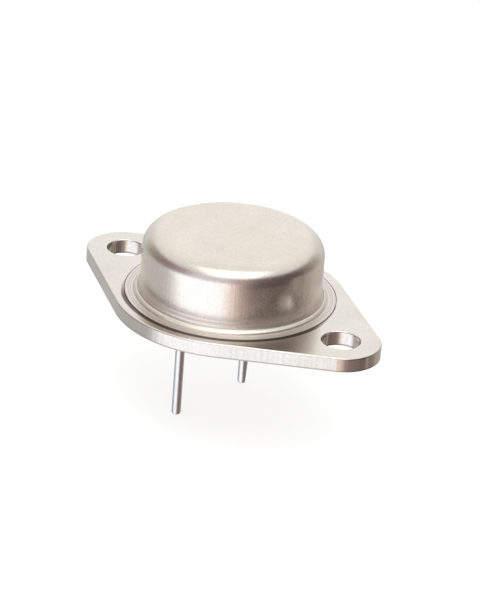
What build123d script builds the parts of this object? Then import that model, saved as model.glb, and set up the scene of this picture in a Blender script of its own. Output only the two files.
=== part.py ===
from build123d import *
import math
import os

# A diamond-flange metal-can power transistor (TO-3 outline), in millimetres.
# Origin: centre of the flange's seating face. +Z runs up through the can,
# +X along the line of the two mounting holes, and the leads hang down on the -X side.

# metal cap: a drawn steel shell with a pressed weld flange
cap_radius = 9.68
cap_wall = 0.42
cap_height_above_base = 6.88
cap_shoulder_radius = 1.9
cap_inner_foot_round = 0.5
cap_flange_width = 1.62
cap_flange_thickness = 0.37
cap_flange_edge_round = 0.1

# foot of the cap: distances out from its wall and up from the top of its flange
flare_height = 1.2
flare_middle_offset = 0.07
flare_middle_height = 0.72
crease_offset = 0.26
crease_height = 0.41
crease_depth = 0.05
bead_middle_offset = 0.49
bead_middle_height = 0.24
bead_outer_offset = 0.59

# mounting base: a stamped steel plate with a coined seat for the cap's flange
base_thickness = 1.6
base_rim_width = 1.2
base_end_margin = 2.22
base_top_edge_round = 0.2
base_bottom_edge_round = 0.1
mount_hole_radius = 2.05
mount_hole_edge_round = 0.13
mount_hole_to_seat = 1.665
seat_depth = 0.3
seat_clearance = 0.06
pilot_clearance = 0.15

# leads: round pins with flat heads
lead_radius = 0.5
lead_length_below_base = 11.75
lead_length_above_base = 1.7
lead_row_offset = 1.85
lead_spacing = 10.92
lead_tip_round = 0.3
lead_head_overhang = 0.3
lead_head_thickness = 0.35
lead_seal_swell = 0.02
sheared_tip_length = 2.4
sheared_tip_depth = 0.14
sheared_tip_direction = 35

# glass seals
seal_radius = 1.65
seal_recess = 0.12
seal_meniscus = 0.1

# heat spreader, braze, solder and die
spreader_length = 9.6
spreader_to_seal = 0.61
spreader_thickness = 1.1
spreader_offset = 1.6
spreader_edge_round = 0.15
braze_inset = 0.15
braze_thickness = 0.06
solder_margin = 0.15
solder_thickness = 0.07
die_side = 4.2
die_thickness = 0.28

# bond wires: each rises from a lead's head, crosses over and comes down on the die
base_wire_radius = 0.125
emitter_wire_radius = 0.19
emitter_wire_pitch = 0.62
wire_foot_length = 0.5
wire_foot_sink = 0.35
wire_bend_radius = 0.45
wire_rise = 1.1
wire_rise_share = 0.36
wire_fall_rise = 0.88
wire_fall_share = 0.26
base_pad_inset = 0.7
emitter_pad_inset = 1.3

# radii, lengths and levels worked out from the sizes above
cap_inner_radius = cap_radius - cap_wall
cap_flange_radius = cap_radius + cap_flange_width
seat_radius = cap_flange_radius + seat_clearance
pilot_radius = cap_inner_radius - pilot_clearance
base_centre_radius = seat_radius + base_rim_width
base_end_radius = mount_hole_radius + base_end_margin
mount_hole_place = seat_radius + mount_hole_to_seat + mount_hole_radius
lead_head_radius = lead_radius + lead_head_overhang
spreader_width = lead_spacing - 2 * (seal_radius + spreader_to_seal)
solder_side = die_side + 2 * solder_margin
seat_floor = base_thickness - seat_depth
flange_top = seat_floor + cap_flange_thickness
cap_top = base_thickness + cap_height_above_base
seal_bottom = seal_recess
seal_top = base_thickness - seal_recess
lead_head_top = base_thickness + lead_length_above_base
spreader_bottom = base_thickness + braze_thickness
spreader_top = spreader_bottom + spreader_thickness
die_bottom = spreader_top + solder_thickness
die_top = die_bottom + die_thickness
base_lead_place = (-lead_row_offset, lead_spacing / 2)
emitter_lead_place = (-lead_row_offset, -lead_spacing / 2)
on_floor = (Align.CENTER, Align.CENTER, Align.MIN)


def arc_point(centre, radius, degrees):
    """Point on a circle at an angle from the first axis."""
    angle = math.radians(degrees)
    return (centre[0] + radius * math.cos(angle), centre[1] + radius * math.sin(angle))


def base_outline():
    """Diamond outline: a wide middle arc and two end arcs joined by tangent lines."""
    tilt = math.degrees(math.acos((base_centre_radius - base_end_radius) / mount_hole_place))
    right, middle, left = (mount_hole_place, 0), (0, 0), (-mount_hole_place, 0)
    with BuildSketch() as outline:
        with BuildLine():
            ThreePointArc(
                arc_point(right, base_end_radius, -tilt),
                arc_point(right, base_end_radius, 0),
                arc_point(right, base_end_radius, tilt),
            )
            Line(arc_point(right, base_end_radius, tilt), arc_point(middle, base_centre_radius, tilt))
            ThreePointArc(
                arc_point(middle, base_centre_radius, tilt),
                arc_point(middle, base_centre_radius, 90),
                arc_point(middle, base_centre_radius, 180 - tilt),
            )
            Line(
                arc_point(middle, base_centre_radius, 180 - tilt),
                arc_point(left, base_end_radius, 180 - tilt),
            )
            ThreePointArc(
                arc_point(left, base_end_radius, 180 - tilt),
                arc_point(left, base_end_radius, 180),
                arc_point(left, base_end_radius, 180 + tilt),
            )
            Line(
                arc_point(left, base_end_radius, 180 + tilt),
                arc_point(middle, base_centre_radius, 180 + tilt),
            )
            ThreePointArc(
                arc_point(middle, base_centre_radius, 180 + tilt),
                arc_point(middle, base_centre_radius, 270),
                arc_point(middle, base_centre_radius, 360 - tilt),
            )
            Line(arc_point(middle, base_centre_radius, -tilt), arc_point(right, base_end_radius, -tilt))
        make_face()
    return outline.sketch


def mounting_base():
    """Steel plate with two mounting holes, two seal holes and the cap's coined seat."""
    plate = extrude(base_outline(), base_thickness)
    plate = fillet(plate.edges().group_by(Axis.Z)[-1], base_top_edge_round)
    plate = fillet(plate.edges().group_by(Axis.Z)[0], base_bottom_edge_round)
    mount_hole = Cylinder(mount_hole_radius, base_thickness, align=on_floor)
    seal_hole = Cylinder(seal_radius, base_thickness, align=on_floor)
    for side in (-1, 1):
        plate -= Pos(side * mount_hole_place, 0) * mount_hole
    for place in (base_lead_place, emitter_lead_place):
        plate -= Pos(*place) * seal_hole
    rims = [
        edge
        for edge in plate.edges().filter_by(GeomType.CIRCLE).group_by(Axis.Z)[-1]
        if abs(edge.radius - mount_hole_radius) < 0.01
    ]
    plate = fillet(rims, mount_hole_edge_round)
    seat = Cylinder(seat_radius, seat_depth, align=on_floor)
    seat -= Cylinder(pilot_radius, seat_depth, align=on_floor)
    return plate - Pos(0, 0, seat_floor) * seat


def metal_cap():
    """Drawn shell: flat top, round shoulder, flared foot, raised bead and pressed flange."""
    inner_shoulder = cap_shoulder_radius - cap_wall
    inner_top = cap_top - cap_wall
    shoulder = (cap_radius - cap_shoulder_radius, cap_top - cap_shoulder_radius)
    inner_centre = (cap_inner_radius - inner_shoulder, inner_top - inner_shoulder)
    inner_foot = (cap_inner_radius + cap_inner_foot_round, seat_floor + cap_inner_foot_round)
    edge = (cap_flange_radius - cap_flange_edge_round, flange_top - cap_flange_edge_round)
    bead_foot = (cap_radius + bead_outer_offset, flange_top)
    bead_middle = (cap_radius + bead_middle_offset, flange_top + bead_middle_height)
    crease = (cap_radius + crease_offset, flange_top + crease_height)
    crease_floor = (crease[0] + crease_depth, crease[1] - crease_depth)
    flare_middle = (cap_radius + flare_middle_offset, flange_top + flare_middle_height)
    flare_start = (cap_radius, flange_top + flare_height)
    with BuildSketch(Plane.XZ) as section:
        with BuildLine():
            Line((inner_foot[0], seat_floor), (cap_flange_radius, seat_floor))
            Line((cap_flange_radius, seat_floor), (cap_flange_radius, edge[1]))
            ThreePointArc(
                (cap_flange_radius, edge[1]),
                arc_point(edge, cap_flange_edge_round, 45),
                (edge[0], flange_top),
            )
            Line((edge[0], flange_top), bead_foot)
            ThreePointArc(bead_foot, bead_middle, crease_floor)
            Line(crease_floor, crease)
            ThreePointArc(crease, flare_middle, flare_start)
            Line(flare_start, (cap_radius, shoulder[1]))
            ThreePointArc(
                (cap_radius, shoulder[1]),
                arc_point(shoulder, cap_shoulder_radius, 45),
                (shoulder[0], cap_top),
            )
            Polyline((shoulder[0], cap_top), (0, cap_top), (0, inner_top), (inner_centre[0], inner_top))
            ThreePointArc(
                (inner_centre[0], inner_top),
                arc_point(inner_centre, inner_shoulder, 45),
                (cap_inner_radius, inner_centre[1]),
            )
            Line((cap_inner_radius, inner_centre[1]), (cap_inner_radius, inner_foot[1]))
            ThreePointArc(
                (cap_inner_radius, inner_foot[1]),
                arc_point(inner_foot, cap_inner_foot_round, 225),
                (inner_foot[0], seat_floor),
            )
        make_face()
    return revolve(section.sketch, Axis.Z)


def lead():
    """Headed round pin: rounded tip, plain shank, slight swell in the seal and a flat head."""
    tip = -lead_length_below_base
    shank_top = lead_head_top - lead_head_thickness
    tip_centre = (lead_radius - lead_tip_round, tip + lead_tip_round)
    with BuildSketch(Plane.XZ) as section:
        with BuildLine():
            Polyline((0, tip), (tip_centre[0], tip))
            ThreePointArc(
                (tip_centre[0], tip),
                arc_point(tip_centre, lead_tip_round, -45),
                (lead_radius, tip_centre[1]),
            )
            Line((lead_radius, tip_centre[1]), (lead_radius, seal_bottom))
            ThreePointArc(
                (lead_radius, seal_bottom),
                (lead_radius + lead_seal_swell, (seal_bottom + seal_top) / 2),
                (lead_radius, seal_top),
            )
            Polyline(
                (lead_radius, seal_top),
                (lead_radius, shank_top),
                (lead_head_radius, shank_top),
                (lead_head_radius, lead_head_top),
                (0, lead_head_top),
                (0, tip),
            )
        make_face()
    return revolve(section.sketch, Axis.Z)


def sheared_tip_cutter():
    """Wedge that leaves the tip of a lead cut down to one side."""
    tip = -lead_length_below_base
    reach = 2 * lead_radius
    with BuildSketch(Plane.XZ) as wedge:
        Polygon(
            (lead_radius, tip + sheared_tip_length),
            (lead_radius + reach, tip + sheared_tip_length),
            (lead_radius + reach, tip),
            (lead_radius - sheared_tip_depth, tip),
            align=None,
        )
    return extrude(wedge.sketch, reach, both=True)


def lead_seal(place, pin):
    """Glass bead between a lead and its hole, dished a little on both faces."""
    with BuildSketch(Plane.XZ) as section:
        with BuildLine():
            middle = (lead_radius + seal_radius) / 2
            Line((0, seal_bottom), (lead_radius, seal_bottom))
            ThreePointArc(
                (lead_radius, seal_bottom),
                (middle, seal_bottom + seal_meniscus),
                (seal_radius, seal_bottom),
            )
            Line((seal_radius, seal_bottom), (seal_radius, seal_top))
            ThreePointArc(
                (seal_radius, seal_top),
                (middle, seal_top - seal_meniscus),
                (lead_radius, seal_top),
            )
            Polyline((lead_radius, seal_top), (0, seal_top), (0, seal_bottom))
        make_face()
    return Pos(*place) * revolve(section.sketch, Axis.Z) - pin


def heat_spreader():
    """Copper pad under the die, brazed to the base between the leads."""
    pad = Box(spreader_length, spreader_width, spreader_thickness, align=on_floor)
    pad = fillet(pad.edges().filter_by(Axis.Z), spreader_edge_round)
    return Pos(spreader_offset, 0, spreader_bottom) * pad


def layer(length, width, thickness, level):
    """Flat rectangular layer centred on the spreader."""
    return Pos(spreader_offset, 0, level) * Box(length, width, thickness, align=on_floor)


def bond_wire(radius, start, finish, seats):
    """Round wire arched from a lead's head to the die, with a flat wedge foot at each end."""
    lift = radius * (1 - wire_foot_sink)
    first = Vector(*start, lead_head_top + lift)
    last = Vector(*finish, die_top + lift)
    span = Vector(last.X - first.X, last.Y - first.Y, 0)
    half_foot = span.normalized() * (wire_foot_length / 2)
    path = FilletPolyline(
        first - half_foot,
        first + half_foot,
        first + span * wire_rise_share + Vector(0, 0, wire_rise),
        last - span * wire_fall_share + Vector(0, 0, wire_fall_rise),
        last - half_foot,
        last + half_foot,
        radius=wire_bend_radius,
    )
    wire = sweep(Plane(path @ 0, z_dir=path % 0) * Circle(radius), path=path)
    for seat in seats:
        wire -= seat
    return wire


def transistor():
    """All pieces by name."""
    cutter = Rot(0, 0, sheared_tip_direction) * sheared_tip_cutter()
    base_lead = Pos(*base_lead_place) * (lead() - cutter)
    emitter_lead = Pos(*emitter_lead_place) * lead()
    braze_length = spreader_length - 2 * braze_inset
    braze_width = spreader_width - 2 * braze_inset
    die = layer(die_side, die_side, die_thickness, die_bottom)
    die_left = spreader_offset - die_side / 2
    base_pad = (die_left + base_pad_inset, die_side / 2 - base_pad_inset)
    emitter_pad = (die_left + emitter_pad_inset, emitter_pad_inset - die_side / 2)
    pieces = {
        "mounting_base": mounting_base(),
        "metal_cap": metal_cap(),
        "spreader_braze": layer(braze_length, braze_width, braze_thickness, base_thickness),
        "heat_spreader": heat_spreader(),
        "die_solder": layer(solder_side, solder_side, solder_thickness, spreader_top),
        "silicon_die": die,
        "base_lead": base_lead,
        "emitter_lead": emitter_lead,
        "base_lead_seal": lead_seal(base_lead_place, base_lead),
        "emitter_lead_seal": lead_seal(emitter_lead_place, emitter_lead),
        "base_wire": bond_wire(base_wire_radius, base_lead_place, base_pad, (base_lead, die)),
    }
    for number, side in ((1, -1), (2, 1)):
        shift = side * emitter_wire_pitch / 2
        start = (emitter_lead_place[0] + shift, emitter_lead_place[1])
        finish = (emitter_pad[0] + shift, emitter_pad[1])
        pieces[f"emitter_wire_{number}"] = bond_wire(emitter_wire_radius, start, finish, (emitter_lead, die))
    return pieces


os.makedirs("parts", exist_ok=True)
for name, piece in transistor().items():
    export_step(piece, f"parts/{name}.step")
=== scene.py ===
import math

import bpy
from mathutils import Matrix, Vector


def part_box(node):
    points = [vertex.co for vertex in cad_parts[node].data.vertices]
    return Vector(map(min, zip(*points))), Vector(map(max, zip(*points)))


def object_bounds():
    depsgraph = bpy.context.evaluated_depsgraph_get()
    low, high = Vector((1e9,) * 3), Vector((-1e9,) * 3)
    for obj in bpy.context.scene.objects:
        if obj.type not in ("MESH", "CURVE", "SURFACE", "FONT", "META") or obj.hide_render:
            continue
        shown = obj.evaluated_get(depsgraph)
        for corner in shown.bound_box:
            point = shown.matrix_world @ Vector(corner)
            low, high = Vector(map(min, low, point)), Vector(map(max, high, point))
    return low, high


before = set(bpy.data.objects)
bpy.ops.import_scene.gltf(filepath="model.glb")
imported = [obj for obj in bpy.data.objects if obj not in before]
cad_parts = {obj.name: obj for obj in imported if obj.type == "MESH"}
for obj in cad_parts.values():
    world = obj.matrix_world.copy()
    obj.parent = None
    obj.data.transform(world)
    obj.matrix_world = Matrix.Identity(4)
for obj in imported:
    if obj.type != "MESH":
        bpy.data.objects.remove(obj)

# Looks for a metal-can power transistor: plated finishes, a soft studio and a camera.
# Lengths are in metres unless a name says mm.

cad_low, cad_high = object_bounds()
base_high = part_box("mounting_base")[1]
cap_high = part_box("metal_cap")[1]
lead_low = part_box("base_lead")[0]

MM = 0.001
base_top = base_high.z
flange_radius = cap_high.x
flange_width = 1.62 * MM
flange_above_base = 0.07 * MM
wall_radius = flange_radius - flange_width
flange_top = base_top + flange_above_base

# camera: where it stands round the object, how it is tilted and what it aims at
camera_azimuth = math.radians(38.5)
camera_elevation = math.radians(25.6)
camera_roll = math.radians(4.4)
camera_distance = 0.3035
camera_lens = 171.1
camera_aim = Vector((0.97, 0.52, 0.9)) * MM


# ---------------------------------------------------------------- node helpers

class Tree:
    """A node tree with short calls to add and join nodes."""

    def __init__(self, tree):
        self.nodes = tree.nodes
        self.links = tree.links
        self.nodes.clear()

    def add(self, kind, inputs=(), **settings):
        """New node. inputs maps a socket's name or number to a value or another socket."""
        made = self.nodes.new(kind)
        for key, value in settings.items():
            setattr(made, key, value)
        for key, value in dict(inputs).items():
            if isinstance(value, bpy.types.NodeSocket):
                self.links.new(value, made.inputs[key])
            else:
                made.inputs[key].default_value = value
        return made

    def math(self, operation, first, second=0.0):
        return self.add("ShaderNodeMath", {0: first, 1: second}, operation=operation).outputs[0]

    def smooth(self, value, low, high):
        """0 below low, 1 above high, and an eased step between."""
        made = self.add(
            "ShaderNodeMapRange",
            {"Value": value, "From Min": low, "From Max": high},
            interpolation_type="SMOOTHSTEP",
        )
        return made.outputs["Result"]

    def band(self, value, middle, half_width):
        """1 at the middle of a band, falling smoothly to 0 at its edges."""
        away = self.math("ABSOLUTE", self.math("SUBTRACT", value, middle))
        return self.math("SUBTRACT", 1.0, self.smooth(away, 0.0, half_width))

    def noise(self, vector, scale, detail=2.0, roughness=0.5):
        made = self.add(
            "ShaderNodeTexNoise",
            {"Vector": vector, "Scale": scale, "Detail": detail, "Roughness": roughness},
        )
        return made.outputs["Fac"]

    def ramp(self, value, stops, interpolation="EASE"):
        """Colour ramp from (position, (r, g, b)) stops."""
        made = self.add("ShaderNodeValToRGB", {"Fac": value})
        made.color_ramp.interpolation = interpolation
        elements = made.color_ramp.elements
        while len(elements) < len(stops):
            elements.new(0.5)
        for element, (position, colour) in zip(elements, stops):
            element.position = position
            element.color = (*colour, 1.0)
        return made.outputs["Color"]

    def mix(self, factor, first, second, blend="MIX"):
        made = self.add("ShaderNodeMix", data_type="RGBA", blend_type=blend)
        for name, value in (("Factor", factor), ("A", first), ("B", second)):
            socket = [s for s in made.inputs if s.name == name and s.enabled][0]
            if isinstance(value, bpy.types.NodeSocket):
                self.links.new(value, socket)
            elif name == "Factor":
                socket.default_value = value
            else:
                socket.default_value = (*value, 1.0)
        return [s for s in made.outputs if s.enabled][0]

    def weighted(self, *terms):
        """Sum of (value, weight) terms."""
        total = 0.0
        for value, weight in terms:
            total = self.math("ADD", total, self.math("MULTIPLY", value, weight))
        return total

    def scaled(self, colour, amount):
        """A colour multiplied by amount."""
        return self.add("ShaderNodeVectorMath", {0: colour, 3: amount}, operation="SCALE").outputs[0]

    def vector(self, x, y, z):
        return self.add("ShaderNodeCombineXYZ", {"X": x, "Y": y, "Z": z}).outputs[0]


class Surface(Tree):
    """A material's tree, with the place on the object in millimetres."""

    def __init__(self, name):
        self.material = bpy.data.materials.new(name)
        self.material.use_nodes = True
        super().__init__(self.material.node_tree)
        place = self.add("ShaderNodeTexCoord").outputs["Object"]
        self.place = self.scaled(place, 1 / MM)
        split = self.add("ShaderNodeSeparateXYZ", {0: self.place})
        self.x, self.y, self.z = split.outputs
        square = self.weighted((self.x, self.x), (self.y, self.y))
        self.radius = self.math("SQRT", square)
        self.angle = self.math("ARCTAN2", self.y, self.x)
        normal = self.add("ShaderNodeNewGeometry").outputs["Normal"]
        self.facing_up = self.math("ABSOLUTE", self.add("ShaderNodeSeparateXYZ", {0: normal}).outputs["Z"])

    def finish(self, colour, roughness, height, depth_mm, metallic=1.0, **fixed):
        """Joins colour, roughness and bump to a shader. depth_mm is how deep a height of 1 is."""
        bump = self.add("ShaderNodeBump", {"Height": height, "Strength": 1.0, "Distance": depth_mm * MM})
        shader = self.add(
            "ShaderNodeBsdfPrincipled",
            {"Base Color": colour, "Roughness": roughness, "Metallic": metallic, "Normal": bump.outputs[0]},
        )
        for key, value in fixed.items():
            shader.inputs[key.replace("_", " ")].default_value = value
        self.add("ShaderNodeOutputMaterial", {"Surface": shader.outputs[0]})
        return self.material


# ---------------------------------------------------------------- finishes

NICKEL_PALE = (0.87, 0.82, 0.745)
NICKEL_DEEP = (0.78, 0.725, 0.65)
# darker mauve tint for the flange outside the bead: painted shade standing in for its duller reflection
FLANGE_SHADE_NICKEL = (0.73, 0.68, 0.66)
# colour of the dark line round the flange: welding heat tint and painted gap shadow
WELD_SHADOW = (0.11, 0.07, 0.055)
plated_depth_mm = 0.008
# bearing where the painted gap shadow round the flange is widest
widest_gap_shadow_degrees = -65


def nickel_colour(surface, tone, pale=NICKEL_PALE, deep=NICKEL_DEEP):
    """Warm plated nickel with faint cloudy patches, dimmed where tone is below 1."""
    cloud = surface.noise(surface.place, 0.22, 4.0, 0.6)
    fine = surface.noise(surface.place, 5.0, 3.0, 0.7)
    patch = surface.weighted((cloud, 0.6), (fine, 0.4))
    colour = surface.mix(surface.smooth(patch, 0.3, 0.7), deep, pale)
    speck = surface.math("MULTIPLY", surface.noise(surface.place, 3.6, 2.0, 0.5), 0.16)
    tone = surface.math("MULTIPLY", tone, surface.math("ADD", speck, 0.92))
    return surface.scaled(colour, tone)


def wide_gap_shadow_side(s):
    """1 on the side of the object where the painted gap shadow round the flange is wide, easing to 0
    elsewhere.
    """
    from_widest = s.math("SUBTRACT", s.angle, math.radians(widest_gap_shadow_degrees))
    return s.smooth(s.math("COSINE", from_widest), 0.05, 0.5)


def plated_cap():
    """Satin drawn cap: fine grain on top, upright drawing lines on the wall, turned rings on the flange.

    The bump also shades the wall as slightly bowed, with a tighter foot and a fill outside the bead.
    """
    s = Surface("plated_cap_finish")
    wall_mm = wall_radius / MM
    foot_mm = flange_top / MM
    rim_mm = flange_radius / MM
    ring_pitch_mm = 0.3
    ring_wander = 9.0
    bow_middle_mm = foot_mm + 3.0
    bow_below_mm = -1.8
    bow_above_mm = 1.9

    # masks
    wall = s.math("SUBTRACT", 1.0, s.smooth(s.facing_up, 0.1, 0.6))
    flange = s.smooth(s.radius, wall_mm + 0.3, wall_mm + 0.5)
    foot = s.math("SUBTRACT", 1.0, s.smooth(s.z, foot_mm + 0.8, foot_mm + 2.0))

    # grain, drawing lines and rings
    grain = s.noise(s.place, 7.0, 3.0, 0.65)
    round_wall = s.math("MULTIPLY", s.angle, wall_mm)
    drawn = s.noise(s.vector(round_wall, 0.0, s.math("MULTIPLY", s.z, 0.05)), 3.4, 4.0, 0.75)
    drawn = s.math("MULTIPLY", drawn, wall)
    wander = s.noise(s.vector(s.radius, 0.0, 0.0), 1.7, 2.0, 0.6)
    turns = s.weighted((s.radius, 2 * math.pi / ring_pitch_mm), (wander, ring_wander))
    rings = s.math("ADD", 0.5, s.math("MULTIPLY", s.math("SINE", turns), 0.5))
    rings = s.math("MULTIPLY", rings, flange)

    # shading of the wall's bow, the foot and the bead's outside
    above_middle = s.math("SUBTRACT", s.z, bow_middle_mm)
    above_middle = s.math("MINIMUM", s.math("MAXIMUM", above_middle, bow_below_mm), bow_above_mm)
    bow = s.math("MULTIPLY", above_middle, above_middle)
    tight_foot = s.smooth(s.z, foot_mm + 0.4, foot_mm + 1.05)
    fill = s.smooth(s.radius, wall_mm + 0.46, wall_mm + 0.68)
    height = s.weighted((grain, 0.3), (drawn, 1.2), (rings, 1.1))
    height = s.math("ADD", height, s.weighted((bow, -1.3), (tight_foot, 17.5)))
    height = s.math("ADD", height, s.math("MULTIPLY", fill, 8.5))

    # tone: painted shade in the creases, at the bead's outer foot and at the flange's outer edge; darker
    # rings and drawing lines; painted light making the wall and its foot a little brighter
    low = s.math("SUBTRACT", 1.0, s.smooth(s.z, foot_mm + 0.55, foot_mm + 0.8))
    # painted shade in the creases at the wall's foot and in a thin dark line at the bead's outer foot
    crease_shade = s.math("MULTIPLY", s.band(s.radius, wall_mm + 0.26, 0.09), low)
    bead_foot_shade = s.math("MULTIPLY", s.band(s.radius, wall_mm + 0.64, 0.09), 0.2)
    # painted shadow of the gap under the flange's outer edge, deeper on the wide side
    rim_gap_shadow = s.smooth(s.radius, rim_mm - 0.12, rim_mm)
    rim_gap_shadow = s.math("MULTIPLY", rim_gap_shadow, s.math("ADD", 0.35, s.math("MULTIPLY", wide_gap_shadow_side(s), 0.65)))
    tone = s.math("SUBTRACT", 1.0, s.math("MULTIPLY", s.smooth(rings, 0.45, 0.95), 0.24))
    tone = s.math("SUBTRACT", tone, s.math("MULTIPLY", s.math("MAXIMUM", crease_shade, bead_foot_shade), 0.35))
    tone = s.math("SUBTRACT", tone, s.math("MULTIPLY", rim_gap_shadow, 0.6))
    tone = s.math("SUBTRACT", tone, s.math("MULTIPLY", drawn, 0.2))
    # painted light: the upright wall and its foot made a little brighter
    tone = s.math("ADD", tone, s.math("MULTIPLY", wall, 0.1))
    tone = s.math("ADD", tone, s.math("MULTIPLY", foot, 0.08))

    roughness = s.math("ADD", 0.21, s.math("MULTIPLY", grain, 0.1))
    roughness = s.math("ADD", roughness, s.math("MULTIPLY", foot, 0.15))
    # painted shade: darker mauve tint on the flange outside the bead, standing in for its duller reflection
    flange_shade = s.math("MULTIPLY", s.smooth(s.radius, wall_mm + 0.6, wall_mm + 0.72), 0.6)
    colour = s.mix(flange_shade, nickel_colour(s, tone), s.scaled(FLANGE_SHADE_NICKEL, tone))
    return s.finish(colour, roughness, height, plated_depth_mm)


def plated_base():
    """Satin plate: fine grain, faint hairlines, upright shear marks round its edge, a dark line of welding
    heat tint and painted gap shadow round the flange.
    """
    s = Surface("plated_base_finish")
    top_mm = base_top / MM
    rim_mm = flange_radius / MM
    widest_gap_shadow_mm = 0.34

    edge = s.math("SUBTRACT", 1.0, s.smooth(s.facing_up, 0.2, 0.6))
    grain = s.noise(s.place, 6.0, 3.0, 0.65)
    shear = s.noise(s.vector(s.x, s.y, s.math("MULTIPLY", s.z, 0.05)), 2.6, 4.0, 0.75)
    shear = s.math("MULTIPLY", shear, edge)
    hairline = s.noise(s.vector(s.math("MULTIPLY", s.x, 0.12), s.y, s.z), 9.0, 2.0, 0.8)
    height = s.weighted((grain, 0.22), (shear, 0.8), (hairline, 0.2))

    # dull burr along the bottom of the edge
    burr = s.math("SUBTRACT", 1.0, s.smooth(s.z, 0.04, 0.24))
    burr = s.math("MULTIPLY", burr, edge)

    # welding heat tint and painted shadow of the gap under the flange: a dark line round it, wider and
    # darker on one side
    wide_shadow_side = wide_gap_shadow_side(s)
    past_rim = s.math("SUBTRACT", s.radius, rim_mm)
    past_rim = s.math("SUBTRACT", past_rim, s.math("MULTIPLY", wide_shadow_side, widest_gap_shadow_mm))
    seat_shadow_band = s.math("SUBTRACT", 1.0, s.smooth(past_rim, 0.0, 0.2))
    weld_tint_and_gap_shadow = s.math("MULTIPLY", seat_shadow_band, s.smooth(s.z, top_mm - 0.4, top_mm - 0.3))
    weld_tint_and_gap_shadow = s.math("MULTIPLY", weld_tint_and_gap_shadow, s.math("ADD", 0.15, s.math("MULTIPLY", wide_shadow_side, 0.77)))

    tone = s.math("SUBTRACT", 1.0, s.math("MULTIPLY", shear, 0.3))
    tone = s.math("MULTIPLY", tone, s.math("SUBTRACT", 1.0, s.math("MULTIPLY", burr, 0.6)))
    roughness = s.math("ADD", 0.17, s.math("MULTIPLY", grain, 0.1))
    roughness = s.math("SUBTRACT", roughness, s.math("MULTIPLY", edge, 0.06))
    roughness = s.math("ADD", roughness, s.math("MULTIPLY", burr, 0.3))
    nickel = nickel_colour(s, tone, (0.875, 0.83, 0.765), (0.785, 0.737, 0.672))
    colour = s.mix(weld_tint_and_gap_shadow, nickel, WELD_SHADOW)
    return s.finish(colour, roughness, height, plated_depth_mm)


def plated_lead():
    """Bright drawn pin with lines along its length and a duller cut end."""
    s = Surface("plated_lead_finish")
    along = s.noise(s.vector(s.x, s.y, s.math("MULTIPLY", s.z, 0.03)), 9.0, 3.0, 0.7)
    pits = s.noise(s.place, 5.0, 3.0, 0.6)
    tip_mm = lead_low.z / MM
    cut_end = s.math("SUBTRACT", 1.0, s.smooth(s.z, tip_mm + 0.02, tip_mm + 0.12))
    height = s.weighted((along, 0.8), (pits, 0.3))
    roughness = s.math("ADD", 0.2, s.math("MULTIPLY", pits, 0.1))
    roughness = s.math("ADD", roughness, s.math("MULTIPLY", cut_end, 0.2))
    tone = s.math("SUBTRACT", 1.0, s.math("MULTIPLY", along, 0.12))
    colour = nickel_colour(s, tone, (0.845, 0.845, 0.85), (0.72, 0.72, 0.725))
    return s.finish(colour, roughness, height, 0.006)


def seal_glass():
    """Dark grey-green sealing glass with small bubbles."""
    s = Surface("seal_glass_finish")
    bubbles = s.add("ShaderNodeTexVoronoi", {"Vector": s.place, "Scale": 4.0}).outputs["Distance"]
    pit = s.smooth(bubbles, 0.05, 0.22)
    streak = s.noise(s.place, 1.6, 4.0, 0.6)
    colour = s.mix(streak, (0.035, 0.055, 0.05), (0.11, 0.14, 0.125))
    roughness = s.math("ADD", 0.08, s.math("MULTIPLY", streak, 0.1))
    return s.finish(colour, roughness, pit, 0.02, metallic=0.0, IOR=1.52)


def worked_metal(name, pale, deep, roughness_low, lines):
    """Soft metal with cloudy tone and rolling or drawing lines along X."""
    s = Surface(name)
    cloud = s.noise(s.place, 0.8, 4.0, 0.6)
    rolled = s.noise(s.vector(s.math("MULTIPLY", s.x, 0.08), s.y, s.z), lines, 3.0, 0.7)
    roughness = s.math("ADD", roughness_low, s.math("MULTIPLY", cloud, 0.15))
    return s.finish(s.mix(cloud, deep, pale), roughness, rolled, 0.006)


def silicon():
    """Dark polished chip with a pale interdigitated metal pattern."""
    s = Surface("silicon_finish")
    comb = s.add(
        "ShaderNodeTexWave",
        {"Vector": s.place, "Scale": 0.9, "Distortion": 0.0},
        wave_type="BANDS",
        bands_direction="X",
    ).outputs["Fac"]
    speck = s.noise(s.place, 8.0, 2.0, 0.5)
    metal = s.smooth(comb, 0.45, 0.55)
    colour = s.mix(metal, (0.05, 0.055, 0.075), (0.62, 0.62, 0.64))
    roughness = s.math("ADD", 0.12, s.math("MULTIPLY", speck, 0.12))
    return s.finish(colour, roughness, metal, 0.01, metallic=0.6)


def dress_nodes():
    """Gives every CAD node its finish."""
    lead = plated_lead()
    glass = seal_glass()
    wire = worked_metal("bond_aluminium_finish", (0.84, 0.84, 0.85), (0.66, 0.66, 0.68), 0.22, 12.0)
    finishes = {
        "mounting_base": plated_base(),
        "metal_cap": plated_cap(),
        "base_lead": lead,
        "emitter_lead": lead,
        "base_lead_seal": glass,
        "emitter_lead_seal": glass,
        "heat_spreader": worked_metal("copper_finish", (0.82, 0.46, 0.3), (0.55, 0.27, 0.17), 0.25, 6.0),
        "spreader_braze": worked_metal("braze_finish", (0.8, 0.77, 0.7), (0.6, 0.57, 0.5), 0.2, 4.0),
        "die_solder": worked_metal("solder_finish", (0.6, 0.6, 0.62), (0.4, 0.4, 0.42), 0.3, 4.0),
        "silicon_die": silicon(),
        "base_wire": wire,
        "emitter_wire_1": wire,
        "emitter_wire_2": wire,
    }
    for name, material in finishes.items():
        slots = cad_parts[name].data.materials
        slots.clear()
        slots.append(material)


# ---------------------------------------------------------------- studio

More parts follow.
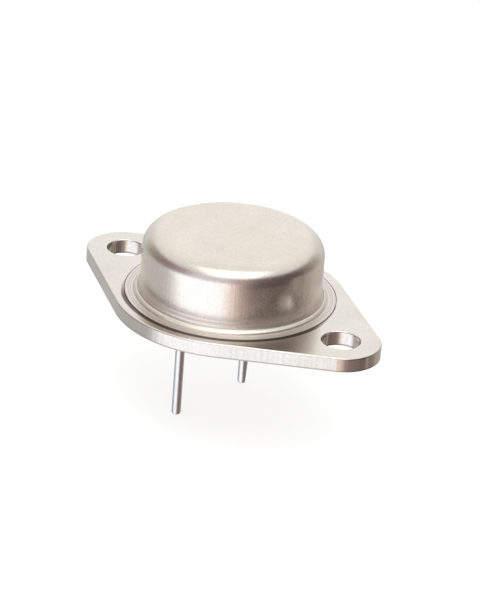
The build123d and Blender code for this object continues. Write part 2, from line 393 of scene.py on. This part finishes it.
def surroundings():
    """World by direction: pale front left, dark front right, pale far side and a bright panel overhead.

    It lights the object and shows in its reflections. Camera and transmission rays see plain white.
    """
    world = bpy.data.worlds.new("studio_surroundings")
    bpy.context.scene.world = world
    world.use_nodes = True
    t = Tree(world.node_tree)
    direction = t.add("ShaderNodeTexCoord").outputs["Generated"]
    front = math.atan2(-math.cos(camera_azimuth), math.sin(camera_azimuth))
    turned = t.add(
        "ShaderNodeVectorRotate", {"Vector": direction, "Angle": -front}, rotation_type="Z_AXIS"
    ).outputs[0]
    split = t.add("ShaderNodeSeparateXYZ", {0: turned})
    bearing = t.math("ARCTAN2", split.outputs["Y"], split.outputs["X"])
    share = t.math("ADD", t.math("MULTIPLY", bearing, 0.5 / math.pi), 0.5)
    brightest = 1.9
    horizon_tilt = 0.17

    def tones(*stops):
        """Ramp round the horizon from (degrees right of the camera, radiance, tint) stops."""
        return t.ramp(share, [
            ((degrees + 180) / 360, [radiance * part / brightest for part in tint])
            for degrees, radiance, tint in stops
        ])

    neutral = (1.0, 1.0, 0.99)
    daylight = (0.97, 1.0, 1.07)
    cool = (1.03, 1.0, 1.01)
    brown = (1.32, 1.0, 0.96)
    umber = (1.3, 1.0, 1.0)
    mauve = (1.04, 1.0, 1.13)
    tan = (1.25, 1.0, 0.86)
    olive = (1.12, 1.0, 0.9)
    far_table = tones(
        (-180, 0.58, neutral), (-85, 0.57, cool), (-63, 1.38, daylight), (-8, 1.38, daylight),
        (3, 0.8, tan), (15, 0.26, brown), (30, 0.09, brown), (77, 0.07, brown), (84, 0.46, tan),
        (91, 0.24, olive), (110, 0.42, olive), (126, 0.54, olive), (180, 0.58, neutral),
    )
    near_table = tones(
        (-180, 0.58, neutral), (-85, 0.55, cool), (-63, 1.38, daylight), (-12, 1.34, daylight),
        (3, 0.8, tan), (15, 0.42, brown), (34, 0.3, brown), (77, 0.22, brown), (83, 0.46, tan),
        (89, 0.2, olive), (104, 0.15, brown), (126, 0.36, olive), (180, 0.58, neutral),
    )
    room = tones(
        (-180, 1.0, neutral), (-150, 0.72, neutral), (-122, 0.33, olive), (-98, 0.2, umber),
        (-65, 0.28, umber), (-44, 0.72, mauve), (-11, 0.72, mauve), (14, 0.36, umber), (34, 0.1, umber),
        (84, 0.07, umber), (106, 0.2, umber), (124, 0.38, olive), (150, 0.74, neutral),
        (180, 1.0, neutral),
    )
    ceiling = tones((-180, 0.95, neutral), (-70, 0.74, neutral), (70, 0.75, neutral), (180, 0.95, neutral))
    height = split.outputs["Z"]
    lean = t.math("SUBTRACT", height, t.math("MULTIPLY", split.outputs["X"], horizon_tilt))
    table = t.mix(t.smooth(height, -0.54, -0.34), near_table, far_table)
    low = t.mix(t.smooth(lean, -0.125, 0.115), table, room)
    panel = t.smooth(split.outputs["X"], -0.08, 0.06)
    panel = t.math("MULTIPLY", panel, t.smooth(split.outputs["Y"], -0.5, -0.3))
    panel = t.math("MULTIPLY", panel, t.math("SUBTRACT", 1.0, t.smooth(split.outputs["Y"], 0.32, 0.56)))
    ceiling = t.mix(panel, ceiling, (1.0, 1.0, 0.98))
    seen = t.mix(t.smooth(lean, 0.5, 0.67), low, ceiling)
    lit = t.add("ShaderNodeBackground", {"Color": seen, "Strength": brightest})
    white = t.add("ShaderNodeBackground", {"Color": (1.0, 1.0, 1.0, 1.0), "Strength": 1.0})
    ray = t.add("ShaderNodeLightPath")
    either = t.math("MAXIMUM", ray.outputs["Is Camera Ray"], ray.outputs["Is Transmission Ray"])
    both = t.add("ShaderNodeMixShader", {0: either, 1: lit.outputs[0], 2: white.outputs[0]})
    t.add("ShaderNodeOutputWorld", {"Surface": both.outputs[0]})


def floor():
    """Pale floor under the tips of the leads. It keeps a soft shadow and is left out of reflections."""
    half_size = 0.8
    mesh = bpy.data.meshes.new("studio_floor")
    signs = ((-1, -1), (1, -1), (1, 1), (-1, 1))
    corners = [(x * half_size, y * half_size, cad_low.z) for x, y in signs]
    mesh.from_pydata(corners, [], [(0, 1, 2, 3)])
    made = bpy.data.objects.new("studio_floor", mesh)
    bpy.context.scene.collection.objects.link(made)
    material = bpy.data.materials.new("floor_finish")
    material.use_nodes = True
    t = Tree(material.node_tree)
    ray = t.add("ShaderNodeLightPath")
    pale = t.add("ShaderNodeBsdfDiffuse", {"Color": (0.3, 0.3, 0.3, 1.0)})
    glow = t.add("ShaderNodeEmission", {"Color": (1.0, 1.0, 1.0, 1.0), "Strength": 0.8})
    seen = t.add("ShaderNodeAddShader", {0: pale.outputs[0], 1: glow.outputs[0]})
    straight = t.math("MAXIMUM", ray.outputs["Is Camera Ray"], ray.outputs["Is Transmission Ray"])
    chosen = t.add("ShaderNodeMixShader", {0: straight, 1: pale.outputs[0], 2: seen.outputs[0]})
    clear = t.add("ShaderNodeBsdfTransparent")
    beneath = t.add("ShaderNodeNewGeometry").outputs["Backfacing"]
    whole = t.add("ShaderNodeMixShader", {0: beneath, 1: chosen.outputs[0], 2: clear.outputs[0]})
    t.add("ShaderNodeOutputMaterial", {"Surface": whole.outputs[0]})
    mesh.materials.append(material)
    made.visible_glossy = False


def softbox(name, degrees_up, distance, width, depth, radiance):
    """Soft lamp on the camera's side, facing the object, left out of reflections.

    radiance is how bright its face looks.
    """
    up = math.radians(degrees_up)
    toward_camera = Vector((math.sin(camera_azimuth), -math.cos(camera_azimuth), 0.0))
    place = (toward_camera * math.cos(up) + Vector((0.0, 0.0, math.sin(up)))) * distance
    data = bpy.data.lights.new(name, "AREA")
    data.shape = "RECTANGLE"
    data.size = width
    data.size_y = depth
    data.energy = radiance * math.pi * width * depth
    lamp = bpy.data.objects.new(name, data)
    lamp.location = place
    lamp.rotation_mode = "QUATERNION"
    lamp.rotation_quaternion = (-place).to_track_quat("-Z", "Y")
    lamp.visible_glossy = False
    bpy.context.scene.collection.objects.link(lamp)


def camera():
    """Camera at the same place round the object as the view it matches, rolled a little."""
    sin_a, cos_a = math.sin(camera_azimuth), math.cos(camera_azimuth)
    sin_e, cos_e = math.sin(camera_elevation), math.cos(camera_elevation)
    back = Vector((sin_a * cos_e, -cos_a * cos_e, sin_e))
    level_right = Vector((cos_a, sin_a, 0.0))
    level_up = back.cross(level_right)
    right = level_right * math.cos(camera_roll) + level_up * math.sin(camera_roll)
    up = back.cross(right)
    data = bpy.data.cameras.new("studio_camera")
    data.lens = camera_lens
    data.sensor_width = 36.0
    data.clip_start = 0.01
    data.clip_end = 10.0
    made = bpy.data.objects.new("studio_camera", data)
    made.rotation_mode = "QUATERNION"
    made.rotation_quaternion = Matrix((right, up, back)).transposed().to_quaternion()
    made.location = camera_aim + back * camera_distance
    bpy.context.scene.collection.objects.link(made)
    bpy.context.scene.camera = made


dress_nodes()
surroundings()
floor()
softbox("overhead_softbox", degrees_up=72.0, distance=0.34, width=0.34, depth=0.19, radiance=1.2)
camera()
bpy.context.scene.view_settings.view_transform = "Standard"
